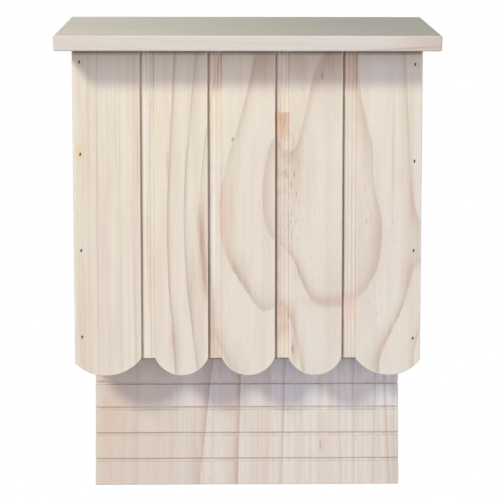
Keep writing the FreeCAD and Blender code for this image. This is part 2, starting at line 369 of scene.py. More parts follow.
def board(name, corners, radii, x_low, x_high, end_radius):
    """A section of (depth, height) corners carried across from x_low to x_high, shrunk at both ends.

    At r (1 - cos a) from an end its sides lie r (1 - sin a) further in, which rounds the end.
    """
    into, drop = quarter(end_radius)
    distance, shrink = np.r_[into, end_radius + COLLAR], np.r_[drop, 0.0]
    across = np.r_[x_low + distance, x_high - distance[::-1]]
    rings = [rounded_section(corners, radii, inset) for inset in np.r_[shrink, shrink[::-1]]]
    outline = np.stack([points for points, mask in rings])
    worn_end = np.r_[np.ones(len(shrink) - 1), 0, 0, np.ones(len(shrink) - 1)]
    mask = np.maximum(rings[0][1][None, :], worn_end[:, None])
    points = to_frame(across[:, None], outline[..., 0], outline[..., 1])
    return new_piece(name, points, tube_faces(*points.shape[:2]), mask)


def cut(piece, *cutters):
    """The cutters taken away from the piece one after another, each result kept as the mesh."""
    for cutter in cutters:
        modifier = piece.modifiers.new("cut", "BOOLEAN")
        modifier.operation, modifier.solver, modifier.object = "DIFFERENCE", "EXACT", cutter
        graph = bpy.context.evaluated_depsgraph_get()
        result = bpy.data.meshes.new_from_object(piece.evaluated_get(graph), depsgraph=graph)
        old = piece.data
        piece.modifiers.clear()
        piece.data = result
        bpy.data.meshes.remove(old)
        bpy.data.objects.remove(cutter)
        result.name = piece.name
    piece.data.set_sharp_from_angle(angle=SHARP_ANGLE)
    return piece


def block(x_low, x_high, section):
    """A plain cutter: a section of (depth, height) corners between two places across."""
    depth, height = np.transpose(section)
    points = to_frame([[x_low], [x_high]], depth, height)
    return new_piece("cutter", points, tube_faces(*points.shape[:2]))


print("helpers ready")

# %% [markdown]
# ## Where the brads go
#
# The box is shot together with small flat brads, each driven a little below the surface. The
# measured model's own brads stay, and the boards need a narrow slot over each. A slot could be
# painted, but a cut one catches the light from every side. The front rows wander a little, as
# hand-aimed brads do.

# %% Brad slots
def brad_slots(places, inward, across, deep=1.8, head=(2.44, 1.34)):
    """Cutters as wide and thick as a brad's head, from 1 mm outside a surface to deep inside it.

    A corner is the place, plus or minus half the head's width across and half its thickness beside
    that, moved along the inward direction.
    """
    places = np.asarray(places, float)
    inward, across = (np.asarray(v, float) / np.linalg.norm(v) for v in (inward, across))
    beside = np.cross(inward, across)
    a, b = np.array([-1, 1, 1, -1]) * head[0] / 2, np.array([-1, -1, 1, 1]) * head[1] / 2
    ring = a[:, None] * across + b[:, None] * beside
    corners = places[:, None, None] + ring[None, None] + np.array([-1.0, deep])[None, :, None, None] * inward
    faces = []
    for n in range(len(places)):
        faces += [[8 * n + k for k in f] for f in tube_faces(2, 4)]
    return new_piece("cutter", to_frame(corners[..., 0], corners[..., 1], corners[..., 2]), faces)


PANEL_LENGTH = (PANEL_TOP[1] - ENTRANCE) / np.cos(LEAN)
LOW_INSET, HIGH_INSET = 17.0, 13.5
BRAD_ACROSS = HALF_BODY - BOARD / 2
rows = np.linspace(LOW_INSET, PANEL_LENGTH - HIGH_INSET, 4)
strays = np.array([(0.7, -2.8, 0.7, 0.3), (-0.9, -3.2, -4.9, -1.5)])
up_panel = rows[None, :] + strays
sides = np.array([[-1.0], [1.0]])
front_brads = np.stack([sides * BRAD_ACROSS + 0 * up_panel, PANEL_FOOT + up_panel * np.sin(LEAN),
                        ENTRANCE + up_panel * np.cos(LEAN)], -1).reshape(-1, 3)
print("front brads at heights", np.round(front_brads[:, 2], 1))

# %% [markdown]
# ## Back board and landing plate
#
# Bats land on the part below the box and climb up inside, so level saw grooves run right across
# the board, from the foot to the top. They could be cut one by one with Booleans, but drawing them
# in the section is lighter and gives every groove softened lips. The keyhole slot in the rear, which
# hangs the box on a screw, is cut with three round cutters and two straight ones.

# %% Grooved section and the back board
GROOVE_PITCH, FIRST_GROOVE, GROOVE_HALF, GROOVE_MARGIN = 21.7, 21.0, 1.5, 14.0
GROOVE_DEPTH, PARTITION_GROOVE_DEPTH = 2.0, 1.2
MOST_GROOVES = 40


def grooves_between(low, high):
    """Heights on the common pattern whose distance to both ends is at least the margin."""
    heights = FIRST_GROOVE + GROOVE_PITCH * np.arange(MOST_GROOVES)
    return heights[(heights - GROOVE_MARGIN >= low) & (heights + GROOVE_MARGIN <= high)]


def groove_corners(face, floor_depth, heights, going_up):
    """Four corners for each groove in a face, in the order in which the outline passes them."""
    step = GROOVE_HALF if going_up else -GROOVE_HALF
    heights = heights if going_up else heights[::-1]
    depth = np.tile([face, floor_depth, floor_depth, face], len(heights))
    return np.c_[depth, (heights[:, None] + np.array([-step, -step, step, step])).ravel()]


def groove_radii(count, lip, root):
    """A radius for each of those corners."""
    return np.tile([lip, root, root, lip], count)


heights = grooves_between(0, underside(BOARD))
corners = np.r_[[(0, 0), (BOARD, 0)], groove_corners(BOARD, BOARD - GROOVE_DEPTH, heights, True),
                [(BOARD, underside(BOARD)), (0, BACK_HEIGHT)]]
radii = np.r_[0.5, 0.6, groove_radii(len(heights), 0.35, 0.2), 0.3, 0.3]
back_board = board("back_board", corners, radii, -HALF_BACK, HALF_BACK, 0.5)


def round_rod(radius, height, low, deep, sides=48):
    """A cutter square to the wall: a circle round x = 0 at a height, between two depths."""
    angle = np.linspace(0, 2 * np.pi, sides, endpoint=False)
    across, up = radius * np.cos(angle), height + radius * np.sin(angle)
    return new_piece("cutter", to_frame(across, [[low], [deep]], up), tube_faces(2, sides))


def slot_rod(radius, low, deep):
    """A straight cutter as wide as twice the radius from the entry to the top, between two depths."""
    return block(-radius, radius, [(low, ENTRY), (deep, ENTRY), (deep, TRAVEL), (low, TRAVEL)])


ENTRY, TRAVEL = FOOT, FOOT + 13
ENTRY_RADIUS, NECK_HALF, LIP, POCKET, OUTSIDE = 4.75, 2.3, 3, 8, -1
cut(back_board, round_rod(ENTRY_RADIUS, ENTRY, OUTSIDE, POCKET), round_rod(ENTRY_RADIUS, TRAVEL, LIP, POCKET),
    slot_rod(ENTRY_RADIUS, LIP, POCKET), round_rod(NECK_HALF, TRAVEL, OUTSIDE, LIP + 0.2),
    slot_rod(NECK_HALF, OUTSIDE, LIP + 0.2))
print("back board:", len(heights), "grooves,", len(back_board.data.polygons), "faces")

# %% [markdown]
# ## Side boards
#
# Each side's top follows the roof and its front edge leans out with the panel. A dado on the
# inside holds the partition. The brad slots run down the rear edge, where the side is fixed to the
# back board, with two more into the partition.

# %% Side boards
PARTITION_FRONT = PARTITION_REAR + PARTITION_BOARD
FOOT_GAP, TOP_GAP = 4, 25
DADO_FOOT, DADO_DEPTH, DADO_PLAY = 100, 4, 0.3
SIDE_INSET, PARTITION_INSET = 24, 28
partition_foot, partition_top = ENTRANCE + FOOT_GAP, underside(PARTITION_FRONT) - TOP_GAP
side_corners = [(0, ENTRANCE), (PANEL_INNER_FOOT, ENTRANCE), PANEL_INNER_TOP, (0, BACK_HEIGHT)]
side_rows = np.linspace(ENTRANCE + SIDE_INSET, underside(BOARD / 2) - SIDE_INSET, 4)
partition_rows = partition_foot + PARTITION_INSET, partition_top - PARTITION_INSET
partition_middle = (PARTITION_REAR + PARTITION_FRONT) / 2
dado_front = PARTITION_FRONT + DADO_PLAY
dado = [(PARTITION_REAR, DADO_FOOT), (dado_front, DADO_FOOT),
        (dado_front, partition_top), (PARTITION_REAR, partition_top)]
side_boards = []
for name, side in (("left_board", -1), ("right_board", 1)):
    low, high = sorted((side * HALF_BACK, side * HALF_BODY))
    piece = board(name, side_corners, 0.5, low, high, 0.6)
    low, high = sorted((side * (HALF_BACK - 3), side * (HALF_BACK + DADO_DEPTH)))
    places = [(side * HALF_BODY, BOARD / 2, h) for h in side_rows]
    places += [(side * HALF_BODY, partition_middle, h) for h in partition_rows]
    cut(piece, block(low, high, dado), brad_slots(places, (-side, 0, 0), (0, 0, 1)))
    side_boards.append(piece)
print("side boards:", [len(p.data.polygons) for p in side_boards], "faces")

# %% [markdown]
# ## Partition
#
# A thinner board between the back board and the front panel gives the bats two narrow crevices,
# with grooves on both faces to hold on to, and stops short of the roof, where they can cross over.
# It is drawn like the back board, up one face and down the other.

# %% Partition
low, high = partition_foot, partition_top
heights = grooves_between(low, high)
rear, front = PARTITION_REAR, PARTITION_FRONT
corners = np.r_[[(rear, low), (front, low)],
                groove_corners(front, front - PARTITION_GROOVE_DEPTH, heights, True),
                [(front, high), (rear, high)],
                groove_corners(rear, rear + PARTITION_GROOVE_DEPTH, heights, False)]
radii = np.tile(np.r_[0.4, 0.4, groove_radii(len(heights), 0.2, 0.1)], 2)
half = HALF_BACK + DADO_DEPTH - DADO_PLAY
baffle = board("baffle", corners, radii, -half, half, 0.3)
print("partition:", len(heights), "grooves on each face")

# %% [markdown]
# ## Roof
#
# The roof is one board that slopes down to the front. Its front edge is square to its faces, its
# rear edge lies in the wall plane, and its rounded long edges give the soft bright line along the
# front. Nine brads hold it down. The edges are a little sharper than the measured solid's, so the
# front is planed back a hair and the board stays inside its box.

# %% Roof
PLANED_BACK = 0.27
rise, front = BOARD / np.cos(SLOPE), ROOF_DEPTH - PLANED_BACK
low_depth = front - BOARD * np.sin(SLOPE)
roof_corners = [(0, BACK_HEIGHT), (low_depth, underside(low_depth)),
                (front, underside(front) + rise), (0, BACK_HEIGHT + rise)]
roof_board = board("roof_board", roof_corners, [0.4, 0.9, 0.8, 0.4], -HALF_ROOF, HALF_ROOF, 1.5)
BRAD_REACH, BOARD_MIDDLES = 30.6, (-113.1, 0.55, 113.65)
REAR_INSET, FRONT_INSET, BACK_SPREAD = 22, 27, 65
run = BRAD_REACH - BOARD
drift = run * np.sin(SLOPE)
panel_drift = drift - run * np.cos(SLOPE) * np.tan(LEAN)
panel_middle = (PANEL_TOP[0] + PANEL_INNER_TOP[0]) / 2 + panel_drift / 2
side_depths = REAR_INSET, PANEL_INNER_TOP[0] - FRONT_INSET
roof_rows = [(x, d) for x in (-BRAD_ACROSS, BRAD_ACROSS) for d in side_depths]
roof_rows += [(x, panel_middle) for x in BOARD_MIDDLES]
roof_rows += [(x, (BOARD + drift) / 2) for x in (-BACK_SPREAD, BACK_SPREAD)]
places = [(x, d + BOARD * np.sin(SLOPE), underside(d) + BOARD * np.cos(SLOPE)) for x, d in roof_rows]
cut(roof_board, brad_slots(places, (0, -np.sin(SLOPE), -np.cos(SLOPE)), (1, 0, 0)))
print("roof:", len(places), "brad slots,", len(roof_board.data.polygons), "faces")

# %% [markdown]
# ## Front panel
#
# The front is one wide board made to look like five narrow ones. A saw kerf and three beads are
# milled between neighbours, and the lower edge is scalloped: an arc under each board face and a
# straight cut under each strip. Booleans on a slab give hard edges only, so the panel is one grid:
# each column across has its own front level and lower end, and runs from the lower edge up the
# front, over the slanted top and down the back.

# %% Milled section across the panel
STRIP_LEFTS = -86.2 + 54.1 * np.arange(4)
KERF, KERF_DEPTH, BEAD, BEAD_RISE, BEAD_SINK, STRIP = 1.6, 5.0, 3.2, 0.5, 0.9, 11.2
DROP, LEFT_CORNER, RIGHT_CORNER = 14.2, 3.8, 1.5
OUTER_EDGE, LEFT_EDGE, RIGHT_EDGE = 1.0, 0.4, 0.5
LOBE_ROUNDING, STRIP_ROUNDING = 0.8, 0.25
board_lefts = np.r_[-HALF_BODY, STRIP_LEFTS + STRIP]
board_rights = np.r_[STRIP_LEFTS, HALF_BODY]


def lobe(left, right, rise_left, rise_right, u):
    """Lower edge of one board and its slope: a circle that just touches the lowest line of all.

    Its lowest point splits the span so that one radius r fits both corners:
    split**2 / rise_left + rise_left = (span - split)**2 / rise_right + rise_right = 2 r.
    """
    span = right - left
    a, b = rise_right - rise_left, 2 * rise_left * span
    c = rise_right * rise_left ** 2 - rise_left * span ** 2 - rise_left * rise_right ** 2
    split = -2 * c / (b + np.sqrt(b * b - 4 * a * c))
    radius = (split ** 2 + rise_left ** 2) / (2 * rise_left)
    x = u - (left + split)
    height = radius - np.sqrt(radius ** 2 - x ** 2)
    return height - DROP, x / np.sqrt(radius ** 2 - x ** 2)


def milled_columns(face_columns=44, bead_columns=12, slant=0.06, collar=0.7):
    """Place across, front level, lower end, its slope, edge mask and lower rounding of each column.

    A board face runs level between two quarter rounds, and a strip is a kerf and three beads. The
    kerf's walls slant by a hair so that the grid never folds. Half a bead's width h and its rise
    give the beads' radius (h**2 + rise**2) / (2 rise).
    """
    radius = ((BEAD / 2) ** 2 + BEAD_RISE ** 2) / (2 * BEAD_RISE)
    swing = np.linspace(-1, 1, bead_columns) * np.arcsin(BEAD / 2 / radius)
    valley = -BEAD_SINK - BEAD_RISE
    parts = []
    for n, (left, right) in enumerate(zip(board_lefts, board_rights)):
        first, last = n == 0, n == len(board_lefts) - 1
        into_l, drop_l = quarter(OUTER_EDGE if first else LEFT_EDGE)
        into_r, drop_r = quarter(OUTER_EDGE if last else RIGHT_EDGE)
        lo, hi = left + into_l[-1] + collar, right - into_r[-1] - collar
        flat = (lo + hi) / 2 - (hi - lo) / 2 * np.cos(np.linspace(0, np.pi, face_columns))
        u = np.r_[left + into_l, flat, right - into_r[::-1]]
        w = np.r_[-drop_l, np.zeros(face_columns), -drop_r[::-1]]
        wear_and_highlight = np.r_[np.ones(len(into_l)), np.zeros(face_columns), np.ones(len(into_r))]
        low, slope = lobe(left, right, DROP - LEFT_CORNER * first, DROP - RIGHT_CORNER * last, u)
        parts.append(np.c_[u, w, low, slope, wear_and_highlight, np.full(len(u), LOBE_ROUNDING)])
        if not last:
            start = right + KERF
            centres = start + BEAD * (np.arange(3) + 0.5)
            bead_u = (centres[:, None] + radius * np.sin(swing)).ravel()
            bead_w = np.tile(-BEAD_SINK - radius + radius * np.cos(swing), 3)
            bead_u += np.tile(np.linspace(0.01, -0.01, bead_columns), 3)
            u = np.r_[right + slant, start - slant, bead_u, right + STRIP - slant]
            w = np.r_[-KERF_DEPTH, -KERF_DEPTH, bead_w, valley]
            crest = np.clip((bead_w + BEAD_SINK) / BEAD_RISE + 1, 0, 1)
            # On the beads the edge mask follows the crests: a painted highlight along each crest.
            wear_and_highlight = np.r_[0, 0, 0.6 * crest, 0]
            parts.append(np.c_[u, w, 0 * u, 0 * u, wear_and_highlight, np.full(len(u), STRIP_ROUNDING)])
    return np.concatenate(parts).T


columns = milled_columns()
print("front panel:", columns.shape[1], "columns, lowest point", round(columns[2].min(), 3))

# %% [markdown]
# A saw leaves the strips' lower ends a little furry, so they get a fine irregular edge, most of all
# the third. The lobes were sanded: their rim is a quarter round that keeps its width round the arc
# because its height is scaled by the square root of one plus the slope squared.

# %% Front panel
def panel_grid(u, w, low, slope, wear_and_highlight, radius):
    """Points (u, v, w) round every column: lower edge, front, slanted top, back.

    The top is where the panel meets the roof: v = (rise + w (sin lean - t cos lean)) / (cos lean +
    t sin lean), t being the slope's tangent and rise the height above the panel's foot at w = 0.
    """
    rear_ease, top_ease, collar = 0.4, 0.3, 1.0
    t = np.tan(SLOPE)
    back = -BOARD + np.interp(np.abs(u), [HALF_BODY - 0.6, HALF_BODY], [0, 0.5])

    def top_at(level):
        """The height v at which this front or rear level meets the roof."""
        rise = BACK_HEIGHT - ENTRANCE - PANEL_FOOT * t
        return (rise + level * (np.sin(LEAN) - t * np.cos(LEAN))) / (np.cos(LEAN) + t * np.sin(LEAN))

    stretch = np.sqrt(1 + slope ** 2)
    into, drop = quarter(1.0, 5)
    v, level, mask = [], [], []

    def add(at_v, at_w, at_mask):
        """One more point on every column: its height, its level and its edge mask."""
        for row, value in ((v, at_v), (level, at_w), (mask, at_mask)):
            row.append(value + 0 * u)

    add(low, back + rear_ease, 1)
    add(low, (back + w - radius) / 2, 0)
    for a, b in zip(into, drop):
        add(low + radius * a * stretch, w - radius * b, 1)
    first, last = low + radius * stretch + collar, top_at(w) - 1.5
    for share in np.linspace(0, 1, 9):
        add(first + (last - first) * share, w, wear_and_highlight)
    add(top_at(w) - top_ease, w, wear_and_highlight)
    add(top_at(w - top_ease), w - top_ease, 0)
    add(top_at(back + top_ease), back + top_ease, 0)
    first, last = low + (rear_ease + 1.2) * stretch, top_at(back) - top_ease
    for share in np.linspace(1, 0, 4):
        add(first + (last - first) * share, back, 0)
    add(low + rear_ease * stretch, back, 1)
    return np.stack(v, 1), np.stack(level, 1), np.stack(mask, 1)


FURRY, FURRIER = 0.10, 0.30
u, w, low, slope, wear_and_highlight, radius = columns
noise = np.random.default_rng(7).normal(size=len(u))
in_strip = radius < LOBE_ROUNDING
third = in_strip & (u > STRIP_LEFTS[2]) & (u < STRIP_LEFTS[3])
low = low + np.where(in_strip, FURRY * noise, 0) + np.where(third, FURRIER * noise, 0)
v, level, mask = panel_grid(u, w, low, slope, wear_and_highlight, radius)
depth = PANEL_FOOT + v * np.sin(LEAN) + level * np.cos(LEAN)
height = ENTRANCE + v * np.cos(LEAN) - level * np.sin(LEAN)
beaded_panel = new_piece("beaded_panel", to_frame(u[:, None], depth, height), tube_faces(*v.shape), mask)
turn_in_wood = np.radians(12)
across = (np.sin(turn_in_wood), np.sin(LEAN) * np.cos(turn_in_wood), np.cos(LEAN) * np.cos(turn_in_wood))
cut(beaded_panel, brad_slots(front_brads, (0, -np.cos(LEAN), np.sin(LEAN)), across))
print("front panel:", len(beaded_panel.data.polygons), "faces")

# %% [markdown]
# ## What pine is made of
#
# What the eye reads as pine's grain is several things on top of each other: growth rings, each of
# which darkens slowly to a thin reddish line and then starts again at once; long fibres, finer than
# a millimetre; short brown resin canals; and a slow drift of the whole tone. A picture of wood
# would be stretched at the ends. Here the wood is worked out from a point's place in the board, so
# that the rings come out right on every edge. Several materials need it, so it is in node groups.

# %% Patterns and node groups
def axis(value, name):
    """One component of a vector."""
    return node("ShaderNodeSeparateXYZ", name, {0: value})


def ramp(value, low, high, out_low=0.0, out_high=1.0):
    """A smooth step from one value to another while the input goes from low to high."""
    inputs = {"Value": value, "From Min": low, "From Max": high, "To Min": out_low, "To Max": out_high}
    return node("ShaderNodeMapRange", 0, inputs, interpolation_type="SMOOTHSTEP")


def cloud(place, stretch, detail=2.0, roughness=0.5):
    """Noise about 0 to 1, stretched by stating how many cells lie in a millimetre along each axis."""
    inputs = {"Vector": place * stretch, "Scale": 1.0, "Detail": detail, "Roughness": roughness}
    return node("ShaderNodeTexNoise", "Fac", inputs)


def hill(off, sharpness=1.0):
    """1 where the value is nothing, falling off to both sides: exp(-sharpness * off**2)."""
    return maths("EXPONENT", off * off * -sharpness)


def new_group(name, inputs, outputs):
    """A new group, open for nodes. Each input has its kind or, for a number or colour, its value."""
    group = bpy.data.node_groups.new(name, "ShaderNodeTree")
    for title, value in inputs.items():
        kind = value if isinstance(value, str) else "Color" if isinstance(value, tuple) else "Float"
        socket = group.interface.new_socket(title, in_out="INPUT", socket_type="NodeSocket" + kind)
        if value != kind:
            socket.default_value = (*value, 1) if kind == "Color" else value
    for title, kind in outputs.items():
        group.interface.new_socket(title, in_out="OUTPUT", socket_type="NodeSocket" + kind)
    open_tree(group)
    given = {socket.name: Value(socket) for socket in tree.nodes.new("NodeGroupInput").outputs}
    return group, given, tree.nodes.new("NodeGroupOutput").inputs


def use_group(group, **inputs):
    """The group placed in the open tree. Underscores in the given names stand for spaces."""
    made = tree.nodes.new("ShaderNodeGroup")
    made.node_tree = group
    for name, value in inputs.items():
        plug(value, made.inputs[name.replace("_", " ")])
    return {socket.name: Value(socket) for socket in made.outputs}


print("pattern helpers ready")

# %% [markdown]
# The ring number grows by one with every year. In a plain board it is the distance from the tree's
# centre line divided by the width of a ring, growing slightly along the board, because a trunk
# tapers. A bump is a soft hill. Added to the ring number, it bends the lines round it, which is how
# ovals and arches come about on a flat-sawn board. Laid on as colour, it is a stain.

# %% Ring number and bump groups
rings_group, given, out = new_group(
    "growth rings", {"Place": "Vector", "Centre": "Vector", "Ring Width": 6.0, "Taper": 0.0, "Wander": 0.5},
    {"Rings": "Float"})
offset = given["Place"] - given["Centre"]
count = maths("LENGTH", offset * (1, 1, 0)) / given["Ring Width"] + axis(offset, "Z") * given["Taper"]
slow = cloud(given["Place"], (0.03, 0.03, 0.005), 1.0) - 0.5
plug(slow * given["Wander"] + count, out["Rings"])


def growth_rings(place, centre, ring_width, taper, wander):
    """Ring number of a plain board, all lengths in millimetres."""
    return use_group(rings_group, Place=place, Centre=centre, Ring_Width=ring_width, Taper=taper,
                     Wander=wander)["Rings"]


bump_group, given, out = new_group(
    "ring bump", {"Place": "Vector", "Middle": "Vector", "Reach": "Vector"}, {"Share": "Float"})
offset = (given["Place"] - given["Middle"]) * (1, 0, 1) / given["Reach"]
plug(maths("EXPONENT", maths("DOT_PRODUCT", offset, offset) * -1.0), out["Share"])


def bump(place, x, z, half_width, half_length):
    """Share of one bump: 1 in its middle, falling off across and along the board."""
    return use_group(bump_group, Place=place, Middle=(x, 0, z), Reach=(half_width, 1, half_length))["Share"]


print("ring groups", len(rings_group.nodes), len(bump_group.nodes))

# %% [markdown]
# The wood group turns a ring number into pine. Within a ring the share of latewood rises slowly and
# drops at once at the next year, and some years are stronger than others. The fibres are noise
# pulled out forty times along the board. The same values also give a height, since a planed board
# is never quite smooth, and a roughness, since latewood polishes more.

# %% Pine group
pine_group, given, out = new_group(
    "pine wood", {"Place": "Vector", "Rings": 0.0, "Pale": (0.875, 0.795, 0.69), "Late": (0.67, 0.49, 0.385),
                  "Ring Strength": 0.4, "Fibre Strength": 0.5, "Line Start": 0.45},
    {"Color": "Color", "Height": "Float", "Roughness": "Float"})
place = given["Place"]
rings = (cloud(place, (0.6, 0.6, 0.025)) - 0.5) * 0.05 + given["Rings"]
year = maths("FLOOR", rings)
within = rings - year
broad = ramp(within, given["Line Start"], 0.98, 0.0, 0.42)
darkening = broad + ramp(within, 0.80, 0.97, 0.0, 0.58)
stopping = ramp(within, 0.962, 1.0, 1.0, 0.0)
strength = node("ShaderNodeTexWhiteNoise", "Value", {"W": year}, noise_dimensions="1D") * 0.35 + 0.65
patchy = ramp(cloud(place, (0.25, 0.25, 0.012), 3.0), 0.30, 0.58, 0.55, 1.0)
late = darkening * stopping * strength * patchy
colour = blend(late * given["Ring Strength"], given["Pale"], given["Late"])

fibre = cloud(place, (1.1, 1.1, 0.028), 4.0, 0.62)
hair = cloud(place, (3.4, 3.4, 0.06), 2.0, 0.6)
streak = ramp(fibre * 0.65 + hair * 0.35, 0.36, 0.64)
colour = blend((1.0 - streak) * given["Fibre Strength"] * 0.34, colour, (0.72, 0.57, 0.46))
drift = ramp(cloud(place, (0.022, 0.022, 0.006)), 0.45, 0.75, 0.0, 0.45)
colour = blend(drift, colour, (0.80, 0.69, 0.60))
canals = ramp(cloud(place + (37, 11, 5), (1.6, 1.6, 0.11), 1.0), 0.735, 0.80)
colour = blend(canals * 0.45, colour, (0.40, 0.24, 0.13))
plug(colour, out["Color"])
plug(streak * 0.6 + late * 0.5 - canals, out["Height"])
plug(0.66 - streak * 0.06 - late * 0.10, out["Roughness"])
print("pine group", len(tree.nodes), "nodes")

# %% [markdown]
# Where a board's edge was broken with sandpaper, the wood is a touch paler, and the wear comes and
# goes along it. Each board's mesh says where its edges are: the attribute called edge is 1 on the
# rounded corners and 0 just beside them. On the front panel's beads it also runs along each crest,
# and there the paler tone is a painted highlight.

# %% Edge wear and painted highlight group
wear_and_highlight_group, given, out = new_group(
    "edge wear and highlight", {"Place": "Vector", "Color": "Color", "Amount": 0.5}, {"Color": "Color"})
edge = node("ShaderNodeAttribute", "Fac", attribute_name="edge")
rubbed = ramp(cloud(given["Place"], (0.09, 0.09, 0.09), 3.0, 0.6), 0.30, 0.62, 0.25, 1.0)
plug(blend(edge * rubbed * given["Amount"], given["Color"], (0.95, 0.885, 0.79)), out["Color"])
print("edge wear and highlight group", len(tree.nodes), "nodes")

# %% [markdown]
# Marks and patches turn up on several boards, so they are groups too. A mark is a thin line along
# the fibres, such as resin leaves: it wanders a little, and it comes and goes. Patches are broad and
# soft, where the wood took up more dirt or light. Both could be painted on by hand, but noise pulled
# out along the board gives them without a picture and runs on over the edges.

# %% Mark and patch groups
marks_group, given, out = new_group(
    "marks", {"Place": "Vector", "Wander": 1.0}, {"Across": "Float", "Broken": "Float"})
place = given["Place"]
shift = cloud(place, (0.02, 0.02, 0.006)) - 0.5 + (cloud(place, (0.5, 0.5, 0.03)) - 0.5) * 0.25
plug(axis(place, "X") + shift * given["Wander"], out["Across"])
plug(ramp(cloud(place, (0.10, 0.10, 0.012)), 0.30, 0.62, 0.45, 1.0), out["Broken"])


def marks(place, lines, wander):
    """Long marks along the fibres: for each (place across, half width, strength) a soft ridge."""
    here = use_group(marks_group, Place=place, Wander=wander)
    total = 0.0
    for middle, half, strength in lines:
        total = hill((here["Across"] - middle) / half) * strength + total
    return maths("MINIMUM", total * here["Broken"], 1.0)


patches_group, given, out = new_group(
    "patches", {"Place": "Vector", "Cells": "Vector", "Low": 0.4, "High": 0.6, "Least": 0.0, "Most": 1.0,
                "Roughness": 0.6}, {"Share": "Float"})
clouds = cloud(given["Place"], given["Cells"], 3.0, given["Roughness"])
plug(ramp(clouds, given["Low"], given["High"], given["Least"], given["Most"]), out["Share"])


def patches(place, cells, low, high, least, most, roughness=0.6):
    """Soft patches: their share goes from least to most while the noise goes from low to high."""
    return use_group(patches_group, Place=place, Cells=cells, Low=low, High=high, Least=least, Most=most,
                     Roughness=roughness)["Share"]


print("mark and patch groups", len(marks_group.nodes), len(patches_group.nodes))

# %% [markdown]
# Each board then gets its own wood: where the tree's centre lay, how wide the rings are and how
# strongly they show. Place is the point in millimetres, turned so that its z runs with the fibres.
# The Principled shader stays in the material itself and takes colour, roughness and bump.

# %% One wood per board
FIBRE_HEIGHT = 0.05


def wood(name, turn=(0, 0, 0), move=(0, 0, 0)):
    """A new material, and the point in millimetres turned so that z runs along the fibres."""
    made = new_material(name)
    here = node("ShaderNodeTexCoord", "Object")
    inputs = {"Vector": here, "Scale": (1000, 1000, 1000), "Rotation": turn, "Location": move}
    return made, node("ShaderNodeMapping", "Vector", inputs)


def pine_wood(place, rings, **looks):
    """The pine group's outputs for a ring number."""
    return use_group(pine_group, Place=place, Rings=rings, **looks)


def finish_wood(place, pine, colour, edge_amount=0.5):
    """Edge wear and painted crest highlights over the colour, then the shader bumped by the fibres."""
    wear_and_highlight = use_group(wear_and_highlight_group, Place=place, Color=colour, Amount=edge_amount)["Color"]
    relief = node("ShaderNodeBump", "Normal", {
        "Height": pine["Height"], "Distance": FIBRE_HEIGHT / 1000, "Strength": 0.6})
    shader = node("ShaderNodeBsdfPrincipled", 0, {
        "Base Color": wear_and_highlight, "Roughness": pine["Roughness"], "Normal": relief, "Specular IOR Level": 0.35})
    node("ShaderNodeOutputMaterial", None, {"Surface": shader})


def plain_wood(name, *ring_values):
    """Wood for a board that shows nothing but its rings and fibres."""
    made, place = wood(name)
    pine = pine_wood(place, growth_rings(place, *ring_values))
    finish_wood(place, pine, pine["Color"])
    return made


def dress(piece, material, cad_node):
    """The piece gets its material, rides with the box and stands for its measured node."""
    piece.data.materials.clear()
    piece.data.materials.append(material)
    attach(piece, "root")
    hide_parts(cad_node)


side_woods = [plain_wood("left side pine", (0, -190, 0), 9.0, 0.006, 1.2),
              plain_wood("right side pine", (0, -20, 0), 7.0, 0.012, 1.6)]
dress(side_boards[0], side_woods[0], "left_side")
dress(side_boards[1], side_woods[1], "right_side")
baffle_wood = plain_wood("partition pine", (40, 60, 0), 8.0, 0.01, 1.5)
dress(baffle, baffle_wood, "partition")
print("plain woods:", [m.name for m in side_woods], baffle_wood.name)

# %% [markdown]
# ## The landing plate's board
#
# This board's rings were cut almost flat, so each shows as an upright brown edge that is sharp on
# the right and fades to the left, and they are given one by one. The grooves' flanks are painted
# browner where the surface looks down, painted shade under each groove's upper lip, and a little
# where it looks up, painted shade that dims the lamp's light there. From the lobes' shadows up, the
# front is painted paler and bluer, most of all to the right: painted fill light in the shadow.

# %% Back board wood
def year_lines(place, lines, wander=1.5):
    """Growth rings cut flat: each line is sharp on one side and fades on the other.

    A line is (across, lean, fade, strength), its place taken 40 mm up the board. With d the
    distance to the right of it, its share is exp(d / fade) left of the line and falls to nothing
    within half a millimetre on the right.
    """
    across = axis(place, "X") + (cloud(place, (0.02, 0.02, 0.012), 3.0) - 0.5) * wander
    up = axis(place, "Z") + (FOOT - 40.0)
    total = 0.0
    for middle, lean, fade, strength in lines:
        off = across - up * lean - middle
        share = maths("EXPONENT", maths("MINIMUM", off, 0.0) / fade) * ramp(off, -0.4, 0.5, 1.0, 0.0)
        total = share * strength + total
    return total


back_wood, place = wood("back board pine")
across, inward, up = (axis(place, name) for name in "XYZ")
on_front = ramp(inward, -11.0, -8.0, 1.0, 0.0)
